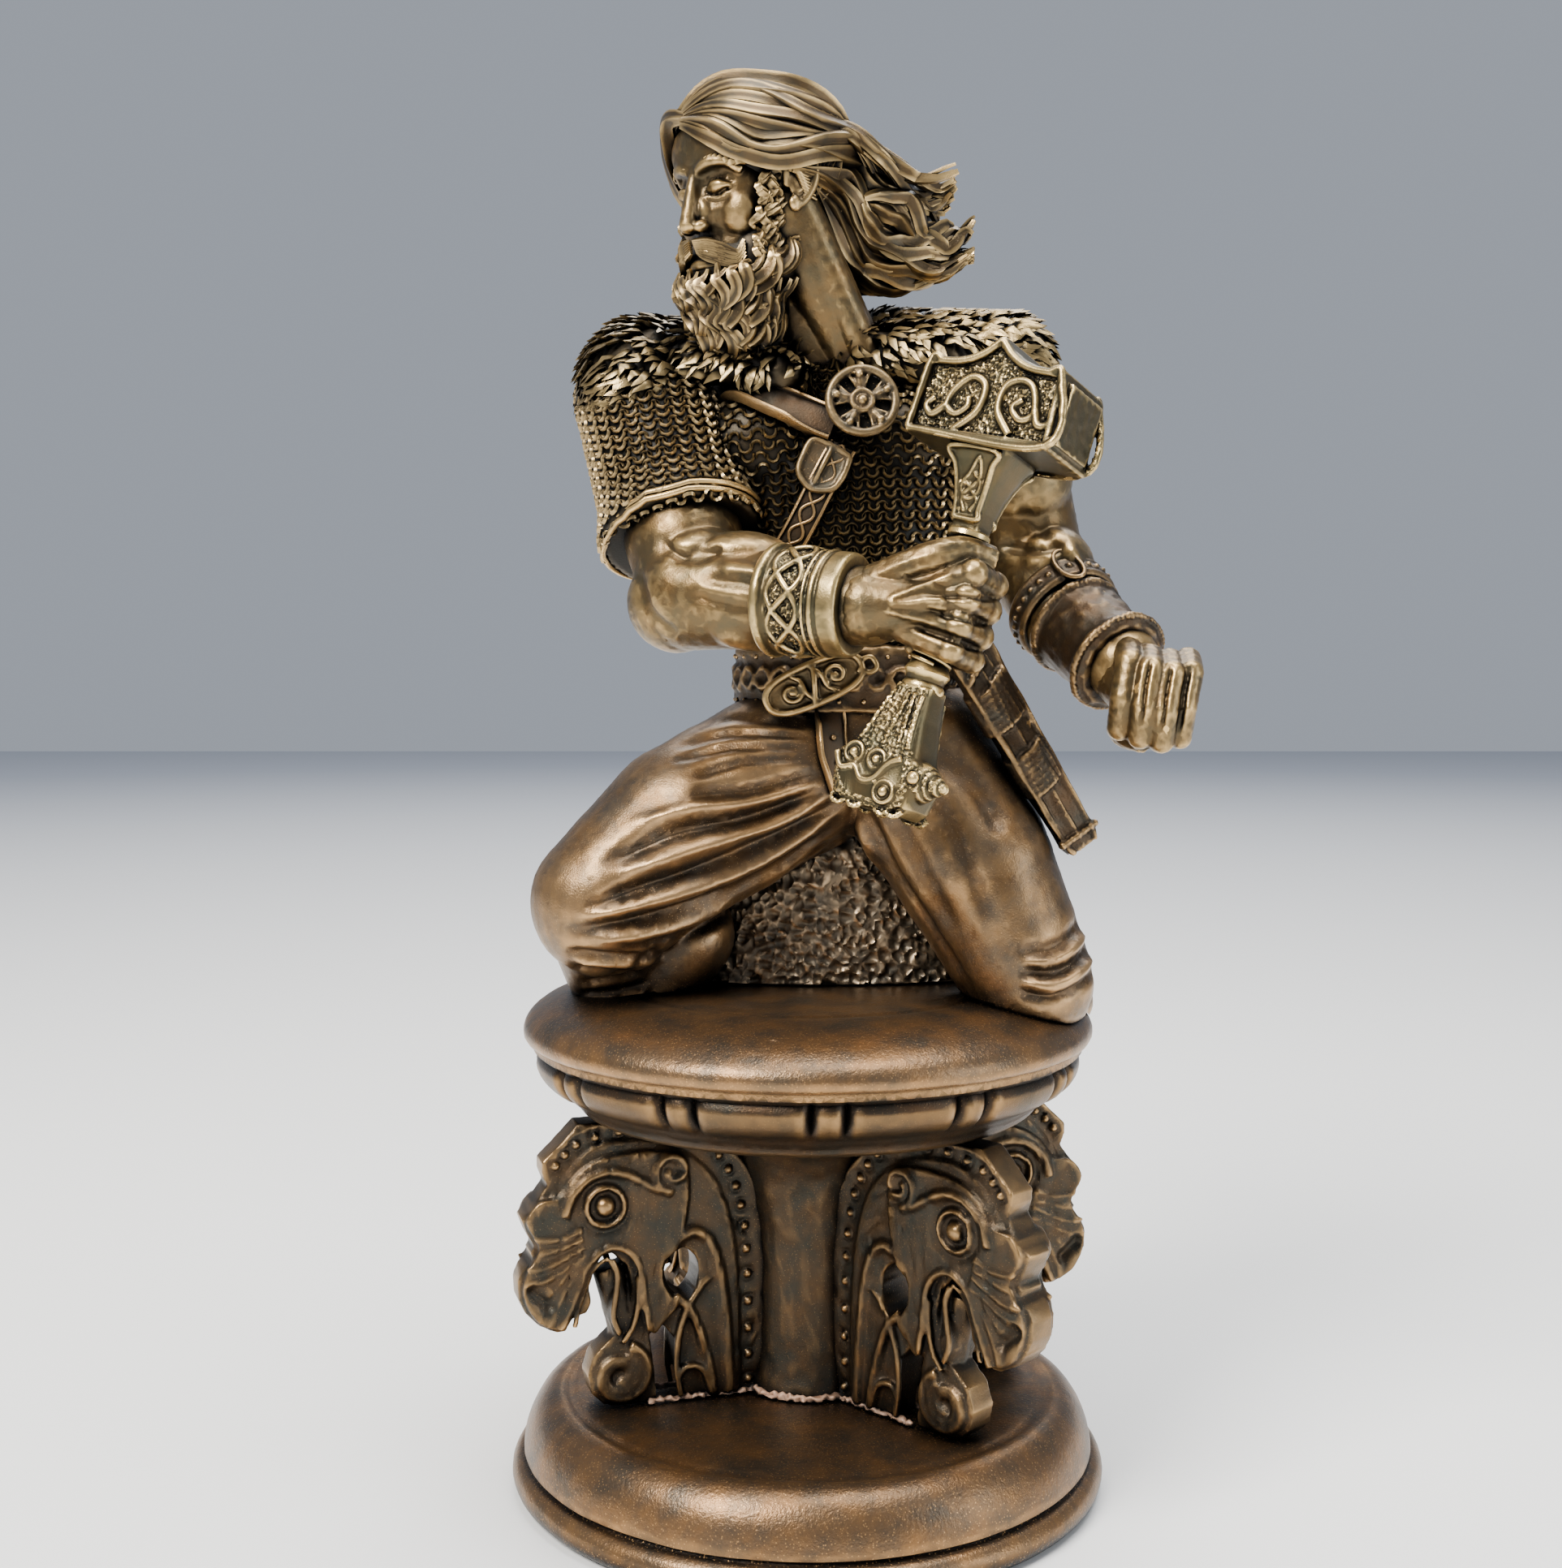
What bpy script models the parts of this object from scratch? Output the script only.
# Statuette of a bearded warrior with a hammer, rising from a dais on a column of four carved dragons.
# Metres, +Z up, -Y is the front, origin at the middle of the underside of the foot.

import math

import bmesh
import bpy
import numpy as np
from mathutils import Matrix, Vector
from mathutils.bvhtree import BVHTree

# Driving sizes of the turned pieces
GAP = 0.0003
FOOT_RADIUS = 0.0712
FOOT_LIP_HEIGHT = 0.0080
FOOT_GROOVE_DEPTH = 0.0036
FOOT_FLAT_RADIUS = 0.0585
FOOT_HEIGHT = 0.0220
COLUMN_HEIGHT = 0.0680
CORE_RADIUS = 0.0125
DAIS_RADIUS = 0.0677
DAIS_FLAT_RADIUS = 0.0430
DAIS_RISE = 0.0095
DAIS_LIP = 0.0022
OVOLO_HEIGHT = 0.0193
OVOLO_TOP_RADIUS = 0.0650
OVOLO_BOTTOM_RADIUS = 0.0500
BEAD_DEPTH = 0.0016
BEAD_PERIODS = 12

# Driving sizes of the carved pieces
DRAGON_THICKNESS = 0.0115
DRAGON_HEADINGS = (198.0, 315.0, 15.0, 132.0)
FIGURE_HEIGHT = 0.2102

# Driving sizes of the hammer
HEAD_LENGTH = 0.0370
HEAD_THICKNESS = 0.0190
HEAD_HEIGHT = 0.0234
HEAD_PEAK = 0.0062
NECK_LENGTH = 0.0165
NECK_TOP_WIDTH = 0.0148
COLLAR_WIDTH = 0.0092
GRIP_RADIUS = 0.0040
GRIP_TOP = 0.0100
GRIP_BOTTOM = 0.0115
NECK_BASE = 0.0187
POMMEL_TOP = 0.0165
POMMEL_LENGTH = 0.0212
POMMEL_HEIGHT = 0.0280
POMMEL_THICKNESS = 0.0138

# How finely each carved piece is blocked out, and how many triangles it keeps
FIGURE_GRAIN = 0.0011
FINE_SHARE = 0.3
FINE_FACTOR = 60.0
COLUMN_FACES = 3000
FOOT_FACES = 760
DAIS_FACES = 1180
HAMMER_FACES = 900
FIGURE_FACES = 4500

# The dragon is drawn in sixty-eighths of the column's height, the figure in parts of its own height
DRAGON_PART = COLUMN_HEIGHT / 68.0
FIGURE_PART = FIGURE_HEIGHT / 210.0


def clear_scene():
    for item in list(bpy.data.objects):
        bpy.data.objects.remove(item, do_unlink=True)


def bronze(name, colour, roughness):
    material = bpy.data.materials.new(name)
    material.use_nodes = True
    shader = material.node_tree.nodes["Principled BSDF"]
    shader.inputs["Base Color"].default_value = (*colour, 1.0)
    shader.inputs["Roughness"].default_value = roughness
    shader.inputs["Metallic"].default_value = 0.75
    return material


def add_object(name, bm, material):
    mesh = bpy.data.meshes.new(name)
    bm.to_mesh(mesh)
    bm.free()
    item = bpy.data.objects.new(name, mesh)
    bpy.context.collection.objects.link(item)
    if material is not None:
        mesh.materials.append(material)
    return item


def modified(item, kind, **settings):
    # Adds one modifier and keeps its result as the object's own mesh
    modifier = item.modifiers.new(kind.title(), kind)
    for key, value in settings.items():
        setattr(modifier, key, value)
    graph = bpy.context.evaluated_depsgraph_get()
    mesh = bpy.data.meshes.new_from_object(item.evaluated_get(graph))
    item.modifiers.clear()
    old = item.data
    item.data = mesh
    bpy.data.meshes.remove(old)
    return item


# Shapes that the carved pieces are blocked out from


def frame_along(start, end):
    # Rotation that turns +Z to the way from start to end
    return (Vector(end) - Vector(start)).to_track_quat("Z", "Y").to_matrix().to_4x4()


def ball(bm, centre, radii, turn=Matrix.Identity(4)):
    matrix = Matrix.Translation(centre) @ turn @ Matrix.Diagonal((*radii, 1.0))
    bmesh.ops.create_icosphere(bm, subdivisions=3, radius=1.0, matrix=matrix)


def cone(bm, start, end, start_radius, end_radius, squash=1.0, sides=24):
    start, end = Vector(start), Vector(end)
    middle = Matrix.Translation((start + end) / 2)
    matrix = middle @ frame_along(start, end) @ Matrix.Diagonal((1.0, squash, 1.0, 1.0))
    bmesh.ops.create_cone(bm, cap_ends=True, segments=sides, radius1=start_radius, radius2=end_radius,
                          depth=(end - start).length, matrix=matrix)


def limb(bm, start, end, start_radius, end_radius):
    cone(bm, start, end, start_radius, end_radius)
    ball(bm, start, [start_radius] * 3)
    ball(bm, end, [end_radius] * 3)


def smooth_path(points, count):
    # Even steps along a Catmull-Rom curve through the points
    pts = [Vector(p) for p in points]
    pts = [pts[0] * 2 - pts[1]] + pts + [pts[-1] * 2 - pts[-2]]
    spans = len(pts) - 3
    out = []
    for step in range(count + 1):
        place = spans * step / count
        i = min(int(place), spans - 1)
        t = place - i
        a, b, c, d = pts[i:i + 4]
        out.append((b * 2 + (c - a) * t + (a * 2 - b * 5 + c * 4 - d) * t ** 2
                    + (b * 3 - a - c * 3 + d) * t ** 3) / 2)
    return out


def tube(bm, points, radius, tip=0.3, steps=12, sides=8, flat=1.0, facing=(0.0, -1.0, 0.0)):
    # Round or flattened rod along a smooth path; its radius swells after the root and ends at tip
    path = smooth_path(points, steps)
    rings = []
    for i, point in enumerate(path):
        along = (path[min(i + 1, steps)] - path[max(i - 1, 0)]).normalized()
        across = along.cross(Vector(facing)).normalized()
        over = across.cross(along)
        t = i / steps
        r = radius * (tip + (1 - tip) * math.cos(t * math.pi / 2) ** 0.8 if tip < 1 else 1)
        ring = [bm.verts.new(point + across * r * math.cos(a) + over * r * flat * math.sin(a))
                for a in (2 * math.pi * k / sides for k in range(sides))]
        rings.append(ring)
    for first, second in zip(rings, rings[1:]):
        for k in range(sides):
            n = (k + 1) % sides
            bm.faces.new((first[k], first[n], second[n], second[k]))
    bm.faces.new(list(reversed(rings[0])))
    bm.faces.new(rings[-1])


def loft(bm, rows, sides=40):
    # Closed skin over level ellipses, each (centre x, centre y, z, radius x, radius y)
    rings = []
    for cx, cy, z, rx, ry in rows:
        rings.append([bm.verts.new((cx + rx * math.cos(a), cy + ry * math.sin(a), z))
                      for a in (2 * math.pi * k / sides for k in range(sides))])
    for low, high in zip(rings, rings[1:]):
        for k in range(sides):
            n = (k + 1) % sides
            bm.faces.new((low[k], low[n], high[n], high[k]))
    bm.faces.new(list(reversed(rings[0])))
    bm.faces.new(rings[-1])


def slab(bm, outline, half_thickness):
    # Flat board in the XZ plane, from -half_thickness to +half_thickness along Y
    count = len(outline)
    front = [bm.verts.new((x, -half_thickness, z)) for x, z in outline]
    back = [bm.verts.new((x, half_thickness, z)) for x, z in outline]
    faces = [bm.faces.new(front), bm.faces.new(list(reversed(back)))]
    for k in range(count):
        n = (k + 1) % count
        faces.append(bm.faces.new((front[k], back[k], back[n], front[n])))
    bmesh.ops.recalc_face_normals(bm, faces=faces)
    bmesh.ops.triangulate(bm, faces=faces[:2])


def fused(name, bm, grain, smoothing, material):
    # One skin over everything in bm
    item = add_object(name, bm, material)
    modified(item, "REMESH", mode="VOXEL", voxel_size=grain)
    modified(item, "SMOOTH", factor=0.5, iterations=smoothing)
    return item


def thinned(item, faces, group=""):
    # group names the vertices whose detail may go first
    triangles = sum(len(p.vertices) - 2 for p in item.data.polygons)
    return modified(item, "DECIMATE", ratio=min(1.0, faces / triangles), use_collapse_triangulate=True,
                    vertex_group=group, vertex_group_factor=FINE_FACTOR)


def largest_shell(item):
    # Drops the loose slivers that thinning and cutting can leave, so one closed body stays
    bm = bmesh.new()
    bm.from_mesh(item.data)
    left, shells = set(bm.faces), []
    while left:
        stack = [left.pop()]
        shell = list(stack)
        while stack:
            for edge in stack.pop().edges:
                if len(edge.link_faces) == 2:
                    for face in edge.link_faces:
                        if face in left:
                            left.discard(face)
                            stack.append(face)
                            shell.append(face)
        shells.append(shell)
    shells.sort(key=len)
    for shell in shells[:-1]:
        bmesh.ops.delete(bm, geom=shell, context="FACES")
    bm.to_mesh(item.data)
    bm.free()
    return item


def combine(item, bm, operation):
    # Adds the shape in bm to the object, or cuts it away
    other = add_object(item.name + "_tool", bm, None)
    other.hide_render = True
    other.display_type = "WIRE"
    modified(item, "BOOLEAN", object=other, operation=operation, solver="EXACT", use_self=True)
    bpy.data.objects.remove(other, do_unlink=True)
    return item


# Carving: vertices near a path are pushed along their normals


def read_mesh(item):
    mesh = item.data
    places = np.empty(len(mesh.vertices) * 3, dtype=np.float32)
    normals = np.empty(len(mesh.vertices) * 3, dtype=np.float32)
    mesh.vertices.foreach_get("co", places)
    mesh.vertex_normals.foreach_get("vector", normals)
    return places.reshape(-1, 3).astype(float), normals.reshape(-1, 3).astype(float)


def write_mesh(item, places):
    item.data.vertices.foreach_set("co", places.astype(np.float32).ravel())
    item.data.update()


def distance_to_path(points, path):
    best = np.full(len(points), np.inf)
    for a, b in zip(path, path[1:]):
        way = b - a
        t = np.clip(((points - a) @ way) / max(way @ way, 1e-12), 0.0, 1.0)
        best = np.minimum(best, np.linalg.norm(points - a - t[:, None] * way, axis=1))
    return best


def carve(places, normals, flat_points, width, depth, facing=-1.0, reach=None):
    # Presses (depth under zero) or raises a line given as (x, z), on the side that faces -Y or +Y
    path = smooth_path([(x, 0.0, z) for x, z in flat_points], 12)
    path = np.array([(p.x, p.z) for p in path])
    away = distance_to_path(places[:, [0, 2]], path)
    side = np.clip(normals[:, 1] * facing * 2.5, 0.0, 1.0)
    if reach is not None:
        side = side * (places[:, 1] * facing > reach)
    places += normals * (depth * np.exp(-(away / width) ** 2) * side)[:, None]


# Turned pieces


def turned(bm, profile, rise=0.0, sides=54):
    # Closed body of revolution; profile is (radius, z) from the top centre down to the bottom centre
    rings = []
    for radius, z in profile[1:-1]:
        rings.append([bm.verts.new((radius * math.cos(a), radius * math.sin(a), z + rise))
                      for a in (2 * math.pi * k / sides for k in range(sides))])
    top = bm.verts.new((0.0, 0.0, profile[0][1] + rise))
    bottom = bm.verts.new((0.0, 0.0, profile[-1][1] + rise))
    for k in range(sides):
        n = (k + 1) % sides
        bm.faces.new((top, rings[0][k], rings[0][n]))
        bm.faces.new((bottom, rings[-1][n], rings[-1][k]))
        for high, low in zip(rings, rings[1:]):
            bm.faces.new((high[k], low[k], low[n], high[n]))


def arc(centre, radii, start, end, steps):
    # Points of an elliptical arc in (radius, z), angles in degrees from +radius
    angles = (math.radians(start + (end - start) * i / steps) for i in range(steps + 1))
    return [(centre[0] + radii[0] * math.cos(a), centre[1] + radii[1] * math.sin(a)) for a in angles]


def foot_profile():
    groove = FOOT_RADIUS - FOOT_GROOVE_DEPTH
    rise = FOOT_HEIGHT - FOOT_LIP_HEIGHT
    return ([(0.0, FOOT_HEIGHT), (FOOT_FLAT_RADIUS - 0.002, FOOT_HEIGHT)]
            + arc((FOOT_FLAT_RADIUS, FOOT_LIP_HEIGHT), (groove + 0.0008 - FOOT_FLAT_RADIUS, rise),
                  85.0, 5.0, 5)
            + [(groove, FOOT_LIP_HEIGHT + 0.0004)]
            + arc((groove, FOOT_LIP_HEIGHT * 0.5), (FOOT_GROOVE_DEPTH, FOOT_LIP_HEIGHT * 0.46),
                  80.0, -60.0, 3)
            + [(groove + 0.0005, 0.0), (0.0, 0.0)])


def dais_top_profile():
    # From the flat top down the swelling slope to the upper edge of the rim
    slope = arc((DAIS_FLAT_RADIUS, 0.0), (DAIS_RADIUS - DAIS_FLAT_RADIUS, DAIS_RISE), 88.0, 0.0, 5)
    return [(0.0, DAIS_RISE), (DAIS_FLAT_RADIUS, DAIS_RISE)] + slope[1:]


def dais_profile():
    rim = [(DAIS_RADIUS - 0.0003, -DAIS_LIP), (OVOLO_TOP_RADIUS - 0.0012, -DAIS_LIP - 0.0008)]
    reach = OVOLO_TOP_RADIUS - OVOLO_BOTTOM_RADIUS
    ovolo = arc((OVOLO_BOTTOM_RADIUS, -DAIS_LIP - 0.0012), (reach, OVOLO_HEIGHT - DAIS_LIP - 0.0012),
                -3.0, -88.0, 5)
    return dais_top_profile() + rim + ovolo + [(0.0, -OVOLO_HEIGHT)]


def bead_swell(angle):
    # 1 on the crown of a long or a short bead, 0 in the gaps between them
    period = 360.0 / BEAD_PERIODS
    place = (math.degrees(angle) + 90.0 - 3.4 + period * 0.5) % period - period * 0.5
    gap, short_half, long_half = 1.25, 3.1, 9.1
    if abs(place) < short_half:
        edge = short_half - abs(place)
    else:
        edge = abs(place) - short_half - 2 * gap
        edge = min(edge, period - 2 * short_half - 4 * gap - edge, 2 * long_half)
    return math.sqrt(max(0.0, min(1.0, edge / 1.6)))


def build_foot(material):
    bm = bmesh.new()
    turned(bm, foot_profile())
    foot = add_object("foot_plate", bm, material)
    # A chip out of the outer lip, front left
    chip = bmesh.new()
    angle = math.radians(-128.0)
    bmesh.ops.create_icosphere(chip, subdivisions=1, radius=0.0026, matrix=Matrix.Translation(
        ((FOOT_RADIUS + 0.0008) * math.cos(angle), (FOOT_RADIUS + 0.0008) * math.sin(angle),
         FOOT_LIP_HEIGHT)))
    combine(foot, chip, "DIFFERENCE")
    return thinned(foot, FOOT_FACES)


def build_dais(rise, material):
    bm = bmesh.new()
    turned(bm, dais_profile(), rise, sides=144)
    neck = rise - DAIS_LIP - 0.0020
    for vert in bm.verts:
        radius = math.hypot(vert.co.x, vert.co.y)
        if radius > OVOLO_BOTTOM_RADIUS * 0.9 and vert.co.z < neck:
            swell = bead_swell(math.atan2(vert.co.y, vert.co.x)) - 1.0
            fade = min(1.0, (neck - vert.co.z) / 0.0015)
            factor = 1.0 + BEAD_DEPTH * swell * fade / radius
            vert.co.x *= factor
            vert.co.y *= factor
    return thinned(add_object("top_plate", bm, material), DAIS_FACES)


# The dragon column. Each board is drawn flat: x is the way out from the axis, z the height, y its thickness


EYE = (51.0, 48.4)
FOOT_SCROLL = (47.3, 7.6)


def dragon_outline():
    crest = [(4.5, 0), (5.5, 18), (7.5, 30), (10.5, 43), (16, 55.5), (23.5, 62.5), (32, 66.5), (41, 67.7),
             (50, 67.7), (57, 67.7), (61, 63.5), (65.3, 59.5), (65.3, 56.8), (64.2, 54)]
    snout = [(67.5, 49.5), (70.2, 46.5), (68.8, 42.8), (67.2, 39.8), (68.2, 38.4), (67.3, 36.8), (70, 34.8),
             (71.2, 32), (71, 28), (69.5, 24.5), (66.5, 21.3), (62.5, 19.2), (60.2, 19.2), (58.6, 22),
             (55.2, 23.2), (54, 25.5)]
    mouth = [(54.6, 29), (53.6, 33), (51.5, 36), (49, 36.8), (47.4, 35), (47.6, 30.5), (49.5, 26.5),
             (50, 21)]
    foot = [(48.6, 17), (50.5, 15.5), (53.5, 12.5), (55, 8), (54, 3.5), (51, 0.6), (47, 0)]
    return crest + snout + mouth + foot


def dragon_neck_outline():
    inner = [(10, 0), (11, 16), (12.5, 30), (15, 42), (20, 52.5), (27, 59.5), (37, 63.3), (47.5, 63.7),
             (54, 61.8), (60, 56), (63.5, 50)]
    return inner + [(60, 44), (50, 40), (40, 40), (34, 36), (30, 20), (24, 0)]


def dragon_face_outline():
    brow = [(31.5, 56), (34, 59.5), (42, 60.5), (52, 59.5), (58, 56), (61.5, 51.5), (66.5, 50.5),
            (69.3, 46.5), (67.8, 42.8)]
    jaw = [(66.5, 39.5), (69.5, 34), (70, 28.5), (67, 22.8), (62, 20.5), (59.5, 24), (56.6, 31.5), (54.3, 36),
           (50.5, 39), (46.3, 38.3), (43.2, 34), (41.8, 26), (40, 17)]
    cheek = [(36.8, 20), (33.6, 23.5), (35.6, 26), (37.4, 30), (36.8, 34), (33.6, 37), (31.9, 43), (31, 50)]
    return brow + jaw + cheek


def dragon_relief(bm, half):
    # Raised lines on both faces; each is (points, radius, steps, side of the tip)
    rods = [
        # brow, ending in a curl
        ([(60, 48), (57, 54), (50, 56.6), (43, 54.3), (36, 51.3), (32, 53.5), (33.2, 58), (37, 57)], 1.3, 12),
        # lip round the mouth
        ([(60.5, 22), (57.4, 29), (54.6, 36), (50.4, 38.6), (45.8, 37.2), (42.6, 32), (41.2, 22)], 1.0, 9),
        # lily arch on the neck
        ([(32.5, 39.5), (27, 39), (20.5, 33), (17, 23), (14.5, 2)], 1.4, 7),
        # leaf under the arch
        ([(34, 25), (29.5, 19), (25.5, 2)], 1.3, 4),
        # folds that fan from the mouth to the snout
        ([(57, 38), (62, 35.2), (70.4, 33.6)], 1.1, 4),
        ([(57.5, 42), (62, 39.8), (68.6, 41)], 1.0, 4)]
    for side in (-1, 1):
        for points, radius, steps in rods:
            y = side * half * (1.0 if points[0][0] > 40 else 0.84)
            tube(bm, [(x, y, z) for x, z in points], radius, tip=0.6, steps=steps, sides=4)
        # eye: ring and boss
        cone(bm, (EYE[0], side * (half - 1), EYE[1]), (EYE[0], side * (half + 0.9), EYE[1]), 5.2, 4.4, sides=12)
        cone(bm, (FOOT_SCROLL[0], side * half * 0.5, FOOT_SCROLL[1]),
             (FOOT_SCROLL[0], side * half * 0.95, FOOT_SCROLL[1]), 3.6, 2.6, sides=9)


def dragon_eye_rims(bm, half):
    # The sunk ring between the eye's rim and its boss
    for side in (-1, 1):
        outer = [bm.verts.new((EYE[0] + r * math.cos(a), side * (half + y), EYE[1] + r * math.sin(a)))
                 for r, y in ((3.6, 1.4), (3.6, 0.1), (2.0, 0.1), (2.0, 1.4))
                 for a in (2 * math.pi * k / 10 for k in range(10))]
        faces = []
        for row in range(4):
            for k in range(10):
                n = (k + 1) % 10
                low, high = row * 10, (row + 1) % 4 * 10
                faces.append(bm.faces.new((outer[low + k], outer[low + n], outer[high + n], outer[high + k])))
        bmesh.ops.recalc_face_normals(bm, faces=faces)


def dragon_openings(bm, half):
    # The slot in the mouth, the leaf-shaped hole behind the cheek and the gap behind the scroll
    deep = half * 1.6
    slab(bm, [(47.4, 35), (45.4, 33.4), (44.4, 28), (44.8, 22), (47, 23.5), (48.3, 29)], deep)
    slab(bm, [(32.4, 36.6), (29.0, 33.8), (28.6, 29), (30.6, 24.4), (34.4, 26), (36.4, 30), (35.8, 33.4)], deep)
    slab(bm, [(40.2, 16.5), (37.0, 18.5), (34, 14.5), (31.5, -2), (38.5, -2), (38.9, 6)], deep)


def dragon_spine_studs(bm, half):
    spine = smooth_path([(x, 0.0, z) for x, z in
                         ((9.8, 32), (12.6, 43), (18, 53), (28, 61.6), (40, 65.6), (52, 65.2), (61.5, 58.6))], 6)
    for point in spine:
        for side in (-1, 1):
            y = side * half * 0.72
            cone(bm, (point.x, y - side, point.z), (point.x, y + side * 0.8, point.z), 1.6, 1.1, sides=4)


def build_board(half, heading, material):
    bm = bmesh.new()
    slab(bm, dragon_outline(), half * 0.72)
    board = add_object("board", bm, material)
    for outline, thickness in ((dragon_neck_outline(), half * 0.84), (dragon_face_outline(), half)):
        layer = bmesh.new()
        slab(layer, outline, thickness)
        combine(board, layer, "UNION")
    for shape, operation in ((dragon_openings, "DIFFERENCE"), (dragon_relief, "UNION"),
                             (dragon_eye_rims, "DIFFERENCE"), (dragon_spine_studs, "UNION")):
        bm = bmesh.new()
        shape(bm, half)
        combine(board, bm, operation)
    board.data.transform(Matrix.Rotation(math.radians(heading), 4, "Z"))
    return board


def build_column(rise, material):
    half = DRAGON_THICKNESS / 2 / DRAGON_PART
    core = bmesh.new()
    radius = CORE_RADIUS / DRAGON_PART
    flare = [(0.0, 68.0), (radius + 22, 68.0), (radius + 14, 65.0), (radius + 6, 58.0), (radius + 2, 49.0),
             (radius, 32.0), (radius + 1, 8.0), (radius + 2, 0.0), (0.0, 0.0)]
    turned(core, flare, sides=32)
    column = add_object("dragon_column", core, material)
    for heading in DRAGON_HEADINGS:
        board = build_board(half, heading, material)
        bm = bmesh.new()
        bm.from_mesh(board.data)
        bpy.data.objects.remove(board, do_unlink=True)
        combine(column, bm, "UNION")
    # Nothing stands out past the flat top and bottom
    for low, high in ((-20.0, 0.0), (68.0, 88.0)):
        bm = bmesh.new()
        cone(bm, (0, 0, low), (0, 0, high), 90.0, 90.0, sides=12)
        combine(column, bm, "DIFFERENCE")
    column.data.transform(Matrix.Translation((0, 0, rise)) @ Matrix.Scale(DRAGON_PART, 4))
    return thinned(column, COLUMN_FACES)


# The figure, in parts of its height above the dais. x and y are level, z is up


GRIP_POINT = (28.6, -47.2, 87.2)
GRIP_WAY = (0.29, 0.10, 0.95)
HAMMER_LONG_WAY = (0.79, -0.58, -0.15)
LEFT_FIST = (75.0, -36.0, 67.0)
HEAD_CENTRE = (-12.6, -7.5, 183.6)
HEAD_TURN = 50.0
HEAD_NOD = 7.0


def head_matrix():
    # The head's own frame: -Y is the way it looks, +Z its crown
    return (Matrix.Translation(HEAD_CENTRE) @ Matrix.Rotation(math.radians(-HEAD_TURN), 4, "Z")
            @ Matrix.Rotation(math.radians(HEAD_NOD), 4, "X"))


def in_head(point):
    return tuple(head_matrix() @ Vector(point))


def torso(bm):
    loft(bm, [(10, 5, 40, 20, 15), (10, 4, 50, 26, 19), (9.7, 3, 60, 26, 19.5), (9.7, 2, 70, 24.5, 18.5),
              (9, 2, 80, 25, 19), (8, 2, 92, 28, 20.5), (7, 2.5, 106, 31, 22), (5.5, 3, 120, 33, 22.5),
              (4.5, 4, 131, 34, 21), (4, 5, 140, 30, 17), (3.5, 5, 147, 18, 13)])
    ball(bm, (-10, -9, 126), (15, 10.5, 12))
    ball(bm, (19, -8, 126), (15, 10.5, 12))
    limb(bm, (3, 6, 145), (-30, 5, 141), 12, 12)
    limb(bm, (3, 6, 146), (38, 8, 145), 12, 12)
    limb(bm, (3, 4, 145), (-4, -2, 172), 14, 12)
    # Seat
    ball(bm, (9.5, 8, 50), (27, 20, 18))
    ball(bm, (-3, 14, 46), (15, 14, 15))
    ball(bm, (22, 14, 46), (15, 14, 15))


def belt(bm):
    loft(bm, [(9.7, 2.2, 64.4, 26.4, 20.2), (9.7, 2.2, 65.4, 27.4, 21.2), (9.7, 2, 79.0, 27.0, 20.8),
              (9.5, 2, 80.0, 25.8, 19.6)])
    # Slanted buckle plate, and the loose end that hangs from it
    ball(bm, (1.2, -20.6, 71.6), (12.2, 2.2, 5.4), Matrix.Rotation(math.radians(-23.6), 4, "Y"))
    tube(bm, [(5.4, -21, 67), (4.6, -21.5, 60), (5.6, -22.5, 53.5), (7.6, -24, 47.8)], 3.8, tip=0.9, steps=8, sides=8,
         flat=0.42)


def legs(bm):
    limb(bm, (-4, -2, 50), (-28, -13, 38), 21, 20)
    limb(bm, (-28, -13, 38), (-46, -20, 22), 20, 17.5)
    limb(bm, (-47, -18, 22), (-43, 2, -4), 15, 12.5)
    limb(bm, (-30, -4, 12), (-42, -6, -2), 13, 13)
    limb(bm, (26, -3, 52), (39, -14, 28), 21, 18.5)
    limb(bm, (39, -14, 28), (50.5, -19, 4), 18.5, 15)
    limb(bm, (51, -17, 2), (56, 6, -8), 14, 12)
    limb(bm, (56, -8, 6), (61, -3, -4), 9, 7)
    # The rough ground between and behind the legs
    loft(bm, [(3, 9, -6, 41, 15), (3, 9, 2, 40, 14), (4, 9, 16, 30, 12.5), (7, 8, 30, 19, 11), (9, 7, 42, 10, 9)],
         sides=28)
    loft(bm, [(5, 22, -9, 33, 20), (5, 22, 6, 30, 18), (6, 20, 30, 24, 15), (8, 18, 46, 18, 12)], sides=28)
    # The calves lie back under the seat
    for side, knee, heel in ((-1, (-43, 0, 5), (-29, 34, 7)), (1, (54, 2, 3), (41, 34, 7))):
        limb(bm, knee, heel, 13.5, 9.5)
        ball(bm, (knee[0] * 0.55 + heel[0] * 0.45, 16, 9), (11, 17, 11))
        limb(bm, heel, (heel[0] - side * 4, 50, 1), 8.0, 6.0)


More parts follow.
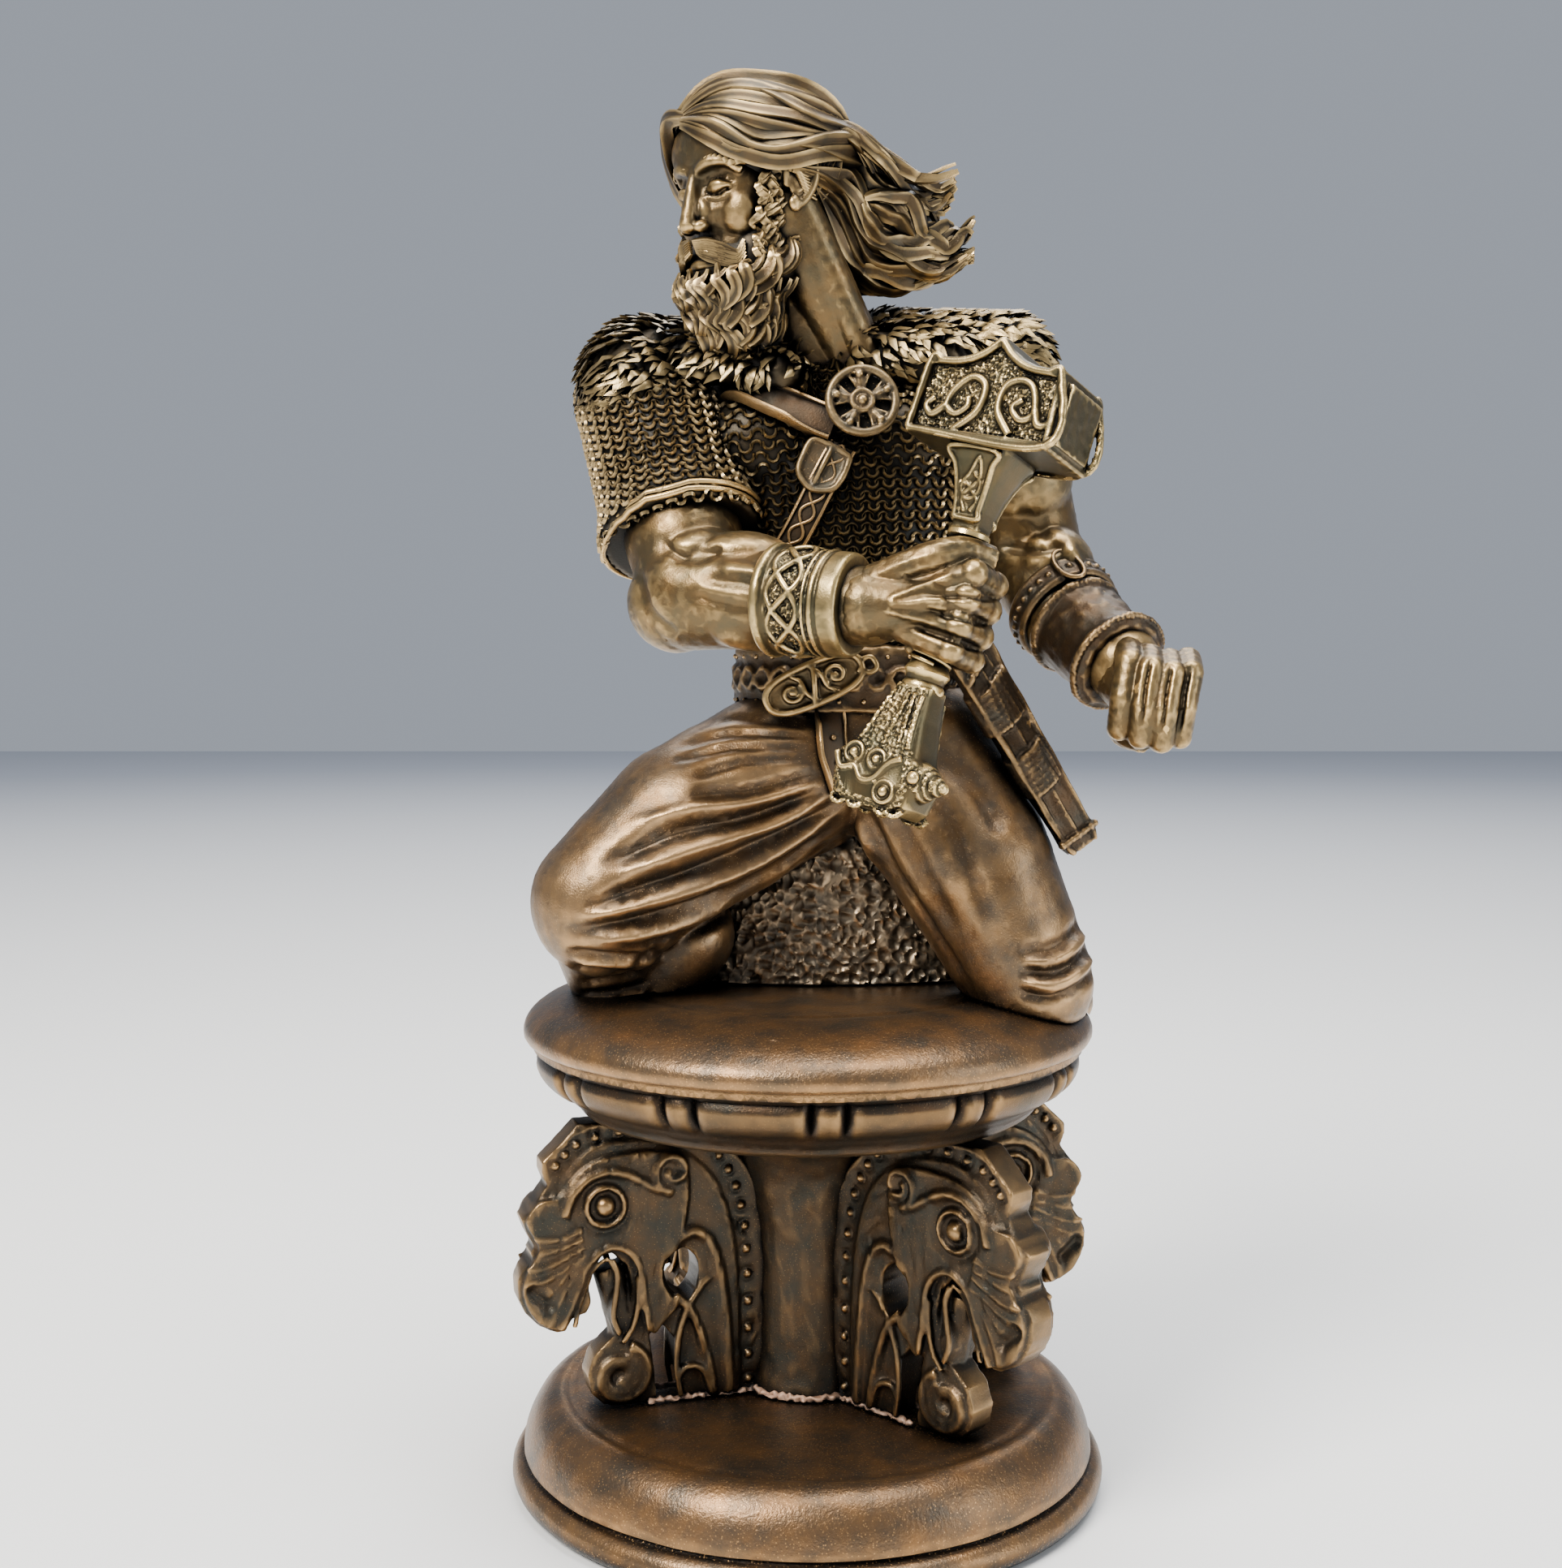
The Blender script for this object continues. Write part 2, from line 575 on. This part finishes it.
def right_arm(bm):
    limb(bm, (-36, 3, 137), (-28, -16, 101), 16.5, 14)
    ball(bm, (-27, -23, 91.5), (13, 13, 13))
    limb(bm, (-26, -25, 92), (-4, -38, 90), 13, 10.3)
    limb(bm, (-4, -38, 90), (12, -46.5, 88.5), 10, 8.5)
    ball(bm, (-17, -30, 97), (11, 8.5, 8.5))
    # Sleeve of mail with its hem
    limb_end = (-29.5, -11.5, 107.5)
    cone(bm, limb_end, (-37.5, 4, 139), 18.6, 18.4)
    ball(bm, (-37, 4, 137.5), (18.2, 18, 17))
    cone(bm, (-29.2, -12.2, 106.4), (-29.8, -11, 108.8), 19.4, 19.4)
    # Bracer between two rims
    cone(bm, (-6.5, -37, 89.9), (9, -45, 88.8), 11.4, 10.6)
    for t in (0.0, 0.82):
        a = Vector((-6.5, -37, 89.9)).lerp(Vector((9, -45, 88.8)), t)
        b = Vector((-6.5, -37, 89.9)).lerp(Vector((9, -45, 88.8)), t + 0.18)
        cone(bm, a, b, 12.3, 12.1)


def grip_frame():
    way = Vector(GRIP_WAY).normalized()
    out = Vector((0.0, -1.0, 0.0))
    out = (out - way * out.dot(way)).normalized()
    return Vector(GRIP_POINT), way, out, way.cross(out)


def right_hand(bm):
    # Back of the hand to the front, four fingers round the grip, thumb above
    centre, way, out, side = grip_frame()
    wrist = Vector((12, -47, 88.5))
    radius = GRIP_RADIUS / FIGURE_PART + 3.2
    for i, (rise, thick) in enumerate(((8.2, 3.4), (2.8, 3.6), (-2.8, 3.5), (-8.0, 3.0))):
        def around(angle, lift=0.0):
            a = math.radians(angle)
            return centre + way * (rise + lift) + (out * math.cos(a) + side * math.sin(a)) * radius
        knuckle = around(25) + out * 1.5
        limb(bm, wrist.lerp(centre + way * rise, 0.25), knuckle, 5.2 - 0.3 * i, thick)
        tube(bm, [knuckle, around(75), around(120), around(165), around(205), around(240)],
             thick, tip=0.85, steps=12, sides=8, facing=way)
    limb(bm, wrist, centre + out * 6 - side * 3, 8.2, 6)
    tube(bm, [wrist + Vector((1, -1, 5)), centre + way * 9 + out * 6 - side * 7,
              centre + way * 12.6 + out * 5.5 - side * 1, centre + way * 13.2 + out * 3 + side * 6],
         4.0, tip=0.75, steps=10, sides=8, facing=way)


def left_arm(bm):
    limb(bm, (43, 8, 140), (52.5, 4, 104), 15.5, 12.5)
    ball(bm, (51, 2, 118), (12.5, 12, 14))
    limb(bm, (53, 4, 102), (60, -9, 87), 12.5, 11.5)
    limb(bm, (60, -9, 87), (70, -27, 76), 11, 8.8)
    # Strap below the elbow, and the leather bracer with its corded rim
    cone(bm, (58.6, -6.5, 89.4), (61.4, -11.5, 85.4), 13.6, 12.8)
    cone(bm, (62, -13, 84.2), (68.4, -24.5, 77.4), 11.8, 10.4)
    cone(bm, (67.4, -22.5, 78.6), (69.2, -25.8, 76.4), 11.2, 10.8)
    # Clenched hand, fingers curled towards the palm
    ball(bm, (75, -34, 69), (9.5, 9.5, 9.5))
    for i, (x, y, z) in enumerate(((68.5, -40, 68), (72.6, -42.4, 66.4), (77, -43.2, 65.4), (81.2, -42.0, 66))):
        thick = (3.1, 3.3, 3.2, 2.8)[i]
        tube(bm, [(x + 2.5, y + 7.5, z + 11), (x + 1.6, y + 0.5, z + 8.5), (x, y - 1.6, z + 1),
                  (x - 0.2, y + 1.4, z - 5.5), (x + 0.4, y + 7, z - 6)], thick, tip=0.8, steps=12, sides=8,
             facing=(1, 0, 0))
    tube(bm, [(71, -27, 66), (69, -33, 61.5), (73, -38, 59.5)], 3.6, tip=0.8, steps=8, sides=8)


def head(bm):
    turn = head_matrix()
    parts = [((0, 3, 7), (15.2, 18.4, 16)), ((0, -5.5, -2), (12.8, 11.6, 16.5)), ((0, -7, -13), (10.6, 9.2, 9.5)),
             ((0, -14.6, -19.6), (4.4, 3.2, 3.6)), ((0, -14.5, 8.5), (9.5, 3.4, 7.0)), ((0, -19.8, -7.6), (2.3, 2.4, 2.1))]
    for side in (-1, 1):
        parts += [((side * 7.8, -11.2, -4.6), (4.8, 4.2, 4.4)), ((side * 5.6, -13.6, 0.2), (3.1, 2.5, 2.2)),
                  ((side * 2.6, -17.8, -8.2), (1.9, 2.3, 1.7)), ((side * 16, 0.6, 0.2), (2.4, 3.8, 6.0))]
        limb(bm, in_head((side * 0.8, -16.3, 4.4)), in_head((side * 9.5, -13.2, 4.8)), 2.3, 1.9)
    for centre, radii in parts:
        ball(bm, turn @ Vector(centre), radii, turn.to_3x3().to_4x4())
    limb(bm, in_head((0, -15.9, 3.5)), in_head((0, -20.2, -6.6)), 1.8, 2.2)
    limb(bm, in_head((12, 2, -4)), (14, -10, 146), 3.8, 3.4)


def beard(bm):
    turn = head_matrix()
    ball(bm, turn @ Vector((0, -8.5, -21)), (11.6, 9.8, 12.0), turn.to_3x3().to_4x4())
    ball(bm, turn @ Vector((0, -8, -28)), (9.8, 8.4, 10.5), turn.to_3x3().to_4x4())
    # Curly locks fan from the lip and the jaw down to the tip
    for row, (lift, reach, out) in enumerate(((-15, 11, -18.0), (-21, 12, -18.6), (-27, 12, -17.2))):
        for k in range(-2 - row % 2, 3 + row % 2):
            spread = (k + 0.5 * (row % 2)) * 4.6
            y = out + abs(spread) * 0.55
            curl = 2.2 if (k + row) % 2 else -2.2
            tube(bm, [in_head((spread * 0.8, y + 1.5, lift)), in_head((spread + curl, y - 1.2, lift - reach * 0.4)),
                      in_head((spread - curl * 0.6, y - 0.2, lift - reach * 0.8)),
                      in_head((spread * 0.85 + curl, y + 2.5, lift - reach * 1.1))],
                 2.5, tip=0.45, steps=8, sides=6)
    for side in (-1, 1):
        # Moustache and sideburn
        tube(bm, [in_head((0, -19.6, -11.4)), in_head((side * 4, -19.2, -12.4)), in_head((side * 7.8, -16.4, -14.6)),
                  in_head((side * 10.4, -13.6, -14.0))], 2.3, tip=0.5, steps=9, sides=7)
        tube(bm, [in_head((side * 14.8, -5, 5)), in_head((side * 15.2, -6.5, -3)), in_head((side * 13.2, -7.5, -12)),
                  in_head((side * 10.6, -9, -20))], 3.4, tip=1.1, steps=8, sides=6)
        for k in range(3):
            tube(bm, [in_head((side * (15.4 - k), -3 - 1.6 * k, -1 - 6 * k)), in_head((side * (16.0 - k), -6 - 1.6 * k, -4 - 6 * k)),
                      in_head((side * (13.6 - k), -8.5 - 1.6 * k, -9 - 6 * k))], 2.1, tip=0.5, steps=6, sides=6)


HAIR_LINES = (
    # How the combed locks run, seen from the front, as (x, z) points: from the parting to the tips behind
    ((-27.4, 197.4), (-21.2, 204.0), (-10.0, 205.4), (3.5, 198.8), (12.2, 195.5), (22.0, 188.8), (34.0, 189.8)),
    ((-27.0, 197.2), (-19.0, 199.8), (-7.0, 198.6), (4.0, 196.6), (12.0, 193.8), (20.5, 187.0), (34.5, 186.8)),
    ((-26.6, 196.2), (-18.5, 194.6), (-8.5, 191.0), (3.0, 192.6), (11.5, 191.4), (18.5, 184.8), (29.5, 181.8)),
    ((-26.4, 195.2), (-18.5, 190.2), (-8.5, 187.2), (2.0, 189.2), (9.5, 187.6), (14.0, 180.5), (25.0, 177.2)),
    ((-5.0, 186.0), (3.0, 186.0), (9.6, 182.0), (12.4, 175.8), (20.0, 171.4), (29.5, 171.6), (39.2, 173.4)),
    ((0.4, 183.0), (5.4, 176.6), (9.4, 169.6), (14.4, 166.0), (21.0, 165.8), (27.0, 167.0), (33.0, 168.8)),
    ((10.4, 182.2), (16.8, 183.4), (22.8, 180.2), (25.6, 176.0), (30.6, 175.6), (35.6, 177.0), (39.4, 179.8)))


def hair(bm):
    # A cap and a mass that streams out behind, on the wind
    turn = head_matrix()
    mass = bmesh.new()
    for target in (bm, mass):
        for centre, radii in (((0, 3.6, 8.2), (17.0, 19.0, 16.4)), ((2, -4, 12), (13.0, 13.0, 10.0))):
            ball(target, turn @ Vector(centre), radii, turn.to_3x3().to_4x4())
        for line in (((0, 3, 184), (20, 8, 180), 13.5, 8), ((3, 4, 173), (15, 7, 174), 11, 7),
                     ((18, 8, 181), (29, 9, 184), 6.0, 3.0), ((18, 8, 176), (34, 9, 174.5), 6.0, 2.4),
                     ((14, 4, 170), (28, 6, 169.5), 5.2, 2.8)):
            limb(target, *line)
    skin = BVHTree.FromBMesh(mass)
    mass.free()
    # Locks lie on that mass in front and behind
    for side in (-1, 1):
        for number, drawn in enumerate(HAIR_LINES):
            line = []
            for p in smooth_path([(x, 0, z) for x, z in drawn], 12):
                spot = skin.ray_cast(Vector((p.x, side * 120.0, p.z)), Vector((0, -side, 0)))[0]
                depth = spot.y + side * 0.8 if spot is not None else (line[-1].y if line else -10.0)
                if line:
                    depth = line[-1].y + max(-5.0, min(5.0, depth - line[-1].y))
                line.append(Vector((p.x, depth, p.z)))
            tube(bm, line, 2.5, tip=0.45, steps=16, sides=6)
    # The roll that stands off the brow on the far side of the parting
    tube(bm, [(-26.8, -18, 196.6), (-31.4, -14, 195.6), (-34.0, -12.5, 189.4), (-33.4, -8, 182.4)], 3.0, tip=0.6, steps=8,
         sides=6)


def fur(bm, rng):
    # Mantle over both shoulders and the upper back, then tufts that lie outwards and down
    limb(bm, (-14, 8, 147), (-36, 4, 141), 9.8, 15.4)
    ball(bm, (-38, 4, 140), (15.4, 19.4, 16.4))
    limb(bm, (18, 9, 148), (46, 9, 146), 10.8, 12.4)
    limb(bm, (-20, 13, 138), (30, 15, 139), 11.4, 11.4)
    limb(bm, (13, -6, 146), (31, -4, 146), 6.5, 8)
    limb(bm, (-26, -8, 146), (-6, -13, 142), 5.5, 5)
    loft(bm, [(5, 17, 112, 22, 8), (5, 17, 116, 26, 10), (5, 17, 124, 31, 12), (5, 14, 136, 35, 13), (5, 12, 146, 23, 11)])
    for start, end, radius, number in (((-15, 6, 148), (-32, 4, 143), 14.0, 22), ((-33, 4, 144), (-45, 3, 141), 17.0, 26),
                                       ((14, 2, 150), (52, 8, 146), 12.5, 40), ((11, -9, 147), (30, -7, 147), 8.0, 14),
                                       ((-24, 22, 132), (34, 24, 132), 9.0, 26)):
        start, end = Vector(start), Vector(end)
        along = (end - start).normalized()
        for _ in range(number):
            t = rng.uniform(0.0, 1.0)
            angle = rng.uniform(-1.0, 1.0) * 2.1
            out = Vector((0, math.sin(angle), math.cos(angle)))
            out = (out - along * out.dot(along)).normalized()
            root = start.lerp(end, t) + out * (radius - 2.4)
            lean = (along * rng.uniform(0.3, 0.9) + out * 0.55 + Vector((0, 0, -0.6))).normalized()
            cone(bm, root, root + lean * rng.uniform(5.5, 7.5), 3.0, 0.9, sides=5)


def straps(bm):
    # Baldric from the right shoulder to the brooch, a second strap down to the ribs, and the wheel brooch
    tube(bm, [(-28, -13, 142.4), (-17.6, -19.4, 138.3), (-6.7, -22, 133.4), (5.5, -22.5, 129.2)], 3.9, tip=1.0, steps=10,
         sides=8, flat=0.4)
    tube(bm, [(7.5, -22, 124.5), (-1.6, -21.6, 107), (-6.5, -21, 98.5), (-11, -19.5, 90)], 3.6, tip=1.0, steps=10, sides=8,
         flat=0.4)
    cone(bm, (11.7, -18, 134.4), (11.9, -23.6, 134.8), 8.2, 7.6, sides=16)
    ball(bm, (11.9, -23.6, 134.8), (2.8, 2, 2.8))
    ball(bm, (3.2, -22.5, 120.2), (4.8, 2.2, 4.8))


def scabbard(bm):
    start, end, facing = Vector((33.5, -20.5, 82)), Vector((62.5, -16.5, 34)), (0.35, -0.93, 0.1)
    tube(bm, [start, start.lerp(end, 0.5), end], 5.8, tip=0.76, steps=6, sides=10, flat=0.5, facing=facing)
    for low, high, size in ((0.0, 0.04, 6.8), (0.22, 0.38, 6.6), (0.52, 0.68, 6.2), (0.95, 0.99, 5.2)):
        tube(bm, [start.lerp(end, low), start.lerp(end, (low + high) / 2), start.lerp(end, high)], size, tip=0.97, steps=4,
             sides=10, flat=0.6, facing=facing)
    limb(bm, (30, -16.5, 75), (34.5, -20.5, 81), 4.8, 4.6)


FOLDS = (
    # Folds of the trousers as (x, z) lines, with width and depth; they fan from the fork over both thighs
    (((4, 47), (-16, 44), (-36, 33), (-50, 22)), 2.6, -1.3),
    (((6, 43), (-14, 38), (-32, 26), (-46, 12)), 2.4, -1.5),
    (((5, 45), (-14, 41.5), (-33, 30), (-48, 17)), 2.2, 1.1),
    (((6, 40), (-12, 33), (-28, 20), (-38, 8)), 2.4, 1.2),
    (((2, 52), (-18, 52), (-34, 43)), 2.4, -0.8),
    (((-52, 12), (-42, 7), (-32, 6)), 2.0, -1.5),
    (((-50, 7), (-40, 3), (-32, 2.5)), 1.8, 1.2),
    (((14, 46), (24, 40), (34, 24), (40, 8)), 2.4, -1.2),
    (((20, 52), (32, 44), (40, 30)), 2.2, -0.8),
    (((66, 6), (58, 9), (50, 6)), 2.0, -1.2),
    (((64, 1), (56, 3), (46, -3)), 2.0, 1.2),
    (((12, 44), (10, 50), (9, 60)), 1.6, -1.0))


def build_figure(rise, material):
    rng = np.random.default_rng(7)
    bm = bmesh.new()
    for part in (torso, belt, legs, right_arm, right_hand, left_arm, head, beard, hair, straps, scabbard):
        part(bm)
    fur(bm, rng)
    figure = fused("figure", bm, FIGURE_GRAIN / FIGURE_PART, 2, material)
    places, normals = read_mesh(figure)
    for line, width, depth in FOLDS:
        carve(places, normals, line, width, depth, reach=4.0)
    write_mesh(figure, places)
    # Head and hands keep more of their detail than the body
    plain = figure.vertex_groups.new(name="plain")
    fine = np.zeros(len(places), dtype=bool)
    for centre, radius in (((HEAD_CENTRE[0], HEAD_CENTRE[1], HEAD_CENTRE[2] - 6.0), 36.0), (GRIP_POINT, 16.0), (LEFT_FIST, 14.0)):
        fine |= np.linalg.norm(places - np.array(centre), axis=1) < radius
    plain.add([int(i) for i in np.flatnonzero(~fine)], 1.0, "REPLACE")
    plain.add([int(i) for i in np.flatnonzero(fine)], FINE_SHARE, "REPLACE")
    largest_shell(thinned(figure, FIGURE_FACES, "plain"))
    figure.data.transform(Matrix.Translation((0, 0, rise)) @ Matrix.Scale(FIGURE_PART, 4))
    # The underside follows the dais
    under = bmesh.new()
    turned(under, [(r + (GAP if r > 0 else 0.0), z + GAP) for r, z in dais_top_profile()]
           + [(DAIS_RADIUS + 0.03, 0.0), (DAIS_RADIUS + 0.03, -0.03), (0.0, -0.03)], rise - DAIS_RISE - GAP)
    return combine(figure, under, "DIFFERENCE")


# The hammer, built upright on its own axis with the grip's middle at the origin


def hammer_matrix(rise):
    centre, way, _, _ = grip_frame()
    long_way = Vector(HAMMER_LONG_WAY)
    long_way = (long_way - way * long_way.dot(way)).normalized()
    thick_way = way.cross(long_way)
    turn = Matrix((long_way, thick_way, way)).transposed().to_4x4()
    return Matrix.Translation(centre * FIGURE_PART + Vector((0, 0, rise))) @ turn


def tapered_box(bm, z_low, z_high, low, high):
    # Box between two levels; low and high are (half length, half thickness) at each
    rows = [[bm.verts.new((sx * half[0], sy * half[1], z)) for sx, sy in ((-1, -1), (1, -1), (1, 1), (-1, 1))]
            for z, half in ((z_low, low), (z_high, high))]
    faces = [bm.faces.new(rows[0][::-1]), bm.faces.new(rows[1])]
    for k in range(4):
        n = (k + 1) % 4
        faces.append(bm.faces.new((rows[0][k], rows[0][n], rows[1][n], rows[1][k])))
    return faces


def hammer_head_outline(base):
    # Flat base, upright ends and an ogee that rises to a peak in the middle
    half, side = HEAD_LENGTH / 2, base + HEAD_HEIGHT - HEAD_PEAK
    left = [(-half * (1.0 - t), side + HEAD_PEAK * h) for t, h in ((0.0, 0.0), (0.45, 0.08), (0.7, 0.34), (0.88, 0.74))]
    right = [(-x, z) for x, z in reversed(left)]
    return [(-half, base), (half, base)] + (left + [(0.0, side + HEAD_PEAK)] + right)[::-1]


def scroll(hand, side, base):
    # One curl with its tail, as points on a broad face of the head
    size = HEAD_HEIGHT * 0.26
    middle = (hand * HEAD_LENGTH * 0.17, base + HEAD_HEIGHT * 0.40)
    curl = [(middle[0] + hand * size * (1.0 - 0.11 * t) * math.cos(0.95 * t - 1.9),
             middle[1] + size * (1.0 - 0.11 * t) * math.sin(0.95 * t - 1.9)) for t in range(7)]
    tail = [(hand * HEAD_LENGTH * 0.24, base + HEAD_HEIGHT * 0.26), (hand * HEAD_LENGTH * 0.34, base + HEAD_HEIGHT * 0.20),
            (hand * HEAD_LENGTH * 0.38, base + HEAD_HEIGHT * 0.34)]
    return [[(x, side * (HEAD_THICKNESS / 2 - 0.0005), z) for x, z in line] for line in (curl, tail)]


def neck_section(share):
    # Half width and half thickness of the neck, which flares to the head
    flare = share ** 2.2
    foot = COLLAR_WIDTH * 0.37
    return foot + (NECK_TOP_WIDTH / 2 - foot) * flare, foot + (HEAD_THICKNESS * 0.46 - foot) * flare


def build_hammer(rise, material):
    head_base = NECK_BASE + NECK_LENGTH
    bm = bmesh.new()
    slab(bm, hammer_head_outline(head_base), HEAD_THICKNESS / 2)
    hammer = add_object("hammer", bm, material)
    # Sunk panel on each broad face
    panels = bmesh.new()
    for side in (-1, 1):
        slab_start = len(panels.verts)
        slab(panels, [(x * 0.9, head_base + HEAD_HEIGHT * 0.07 + (z - head_base) * 0.84)
                      for x, z in hammer_head_outline(head_base)], 0.0009)
        panels.verts.ensure_lookup_table()
        for vert in panels.verts[slab_start:]:
            vert.co.y += side * (HEAD_THICKNESS / 2)
    combine(hammer, panels, "DIFFERENCE")
    scrolls = bmesh.new()
    for side in (-1, 1):
        for hand in (-1, 1):
            for line in scroll(hand, side, head_base):
                tube(scrolls, line, 0.0007, tip=0.8, steps=9, sides=4)
    combine(hammer, scrolls, "UNION")
    steps = 4
    for k in range(steps):
        piece = bmesh.new()
        low, high = k / steps, (k + 1) / steps
        tapered_box(piece, NECK_BASE + NECK_LENGTH * low - 0.0002, NECK_BASE + NECK_LENGTH * high + 0.0003,
                    neck_section(low), neck_section(high))
        combine(hammer, piece, "UNION")
    turned_parts = bmesh.new()
    ring, knob = COLLAR_WIDTH / 2, GRIP_RADIUS * 1.25
    turned(turned_parts, [(0.0, NECK_BASE + 0.001), (ring * 0.8, NECK_BASE + 0.001), (ring, NECK_BASE - 0.0012),
                          (ring * 0.82, NECK_BASE - 0.0028), (ring, NECK_BASE - 0.0044), (ring * 0.85, NECK_BASE - 0.0068),
                          (GRIP_RADIUS, GRIP_TOP), (GRIP_RADIUS, -GRIP_BOTTOM), (knob, -GRIP_BOTTOM - 0.0018),
                          (GRIP_RADIUS * 1.05, -GRIP_BOTTOM - 0.0036), (GRIP_RADIUS, -POMMEL_TOP - 0.0010),
                          (0.0, -POMMEL_TOP - 0.0010)], sides=14)
    combine(hammer, turned_parts, "UNION")
    # Pommel: stem that widens downwards, and a cross-piece with a scalloped foot
    middle, low = -POMMEL_TOP - POMMEL_HEIGHT * 0.58, -POMMEL_TOP - POMMEL_HEIGHT
    half, lean = POMMEL_LENGTH / 2, POMMEL_LENGTH * 0.1
    stem = bmesh.new()
    tapered_box(stem, middle - 0.0008, -POMMEL_TOP, (half * 0.84, POMMEL_THICKNESS * 0.46), (GRIP_RADIUS * 1.1, GRIP_RADIUS * 1.1))
    combine(hammer, stem, "UNION")
    bar = bmesh.new()
    slab(bar, [(x * half - lean, z) for x, z in ((-0.8, low + 0.0010), (-0.45, low), (-0.1, low + 0.0012), (0.3, low),
                                                  (0.75, low + 0.0010), (0.95, low + 0.0040), (1.0, middle - 0.0040),
                                                  (0.8, middle), (-0.85, middle), (-1.0, middle - 0.0030),
                                                  (-1.0, middle - 0.0070))], POMMEL_THICKNESS / 2)
    combine(hammer, bar, "UNION")
    boss = bmesh.new()
    level, out = middle - POMMEL_HEIGHT * 0.14, half - lean
    cone(boss, (out - 0.001, 0, level), (out + 0.0012, 0, level), 0.0046, 0.0040, sides=12)
    cone(boss, (out + 0.0005, 0, level), (out + 0.0040, 0, level), 0.0030, 0.0012, sides=10)
    for x in (-half * 0.75, -half * 0.15):
        for side in (-1, 1):
            ball_at = (x, side * POMMEL_THICKNESS / 2, middle - 0.0010)
            bmesh.ops.create_icosphere(boss, subdivisions=1, radius=0.0018, matrix=Matrix.Translation(ball_at))
    combine(hammer, boss, "UNION")
    thinned(hammer, HAMMER_FACES)
    hammer.data.transform(hammer_matrix(rise))
    return hammer


def hammer_room(bm, rise):
    # What the hammer needs clear in the figure, a gap wider than the hammer itself
    grip, collar, knob = GRIP_RADIUS + GAP, COLLAR_WIDTH / 2 + GAP, GRIP_RADIUS * 1.25 + GAP
    turned(bm, [(0.0, NECK_BASE), (collar, NECK_BASE), (collar, NECK_BASE - 0.0066), (grip, GRIP_TOP - 0.0004),
                (grip, -GRIP_BOTTOM + 0.0004), (knob, -GRIP_BOTTOM - 0.0014), (knob, -POMMEL_TOP + 0.0004),
                (knob, -POMMEL_TOP), (0.0, -POMMEL_TOP)], sides=16)
    tapered_box(bm, NECK_BASE - GAP, NECK_BASE + NECK_LENGTH, neck_section(0.3), neck_section(1.0))
    bmesh.ops.transform(bm, matrix=hammer_matrix(rise), verts=bm.verts)


def pommel_room(bm, rise):
    clear = POMMEL_THICKNESS / 2 + GAP * 2
    tapered_box(bm, -POMMEL_TOP - POMMEL_HEIGHT - GAP * 2, -POMMEL_TOP + GAP * 2, (POMMEL_LENGTH * 0.66, clear),
                (POMMEL_LENGTH * 0.36, clear * 0.9))
    bmesh.ops.transform(bm, matrix=hammer_matrix(rise), verts=bm.verts)


def build_statuette():
    clear_scene()
    old_gold = bronze("old_gold_bronze", (0.30, 0.19, 0.09), 0.42)
    bright_gold = bronze("bright_gold_bronze", (0.45, 0.31, 0.12), 0.36)
    build_foot(old_gold)
    column_rise = FOOT_HEIGHT + GAP
    build_column(column_rise, old_gold)
    dais_rise = column_rise + COLUMN_HEIGHT + GAP + OVOLO_HEIGHT
    build_dais(dais_rise, old_gold)
    figure_rise = dais_rise + DAIS_RISE + GAP
    figure = build_figure(figure_rise, old_gold)
    build_hammer(figure_rise, bright_gold)
    for clearance in (hammer_room, pommel_room):
        room = bmesh.new()
        clearance(room, figure_rise)
        combine(figure, room, "DIFFERENCE")
    largest_shell(figure)
    for item in bpy.data.objects:
        item.data.shade_smooth()
        item.data.set_sharp_from_angle(angle=math.radians(32.0))


build_statuette()
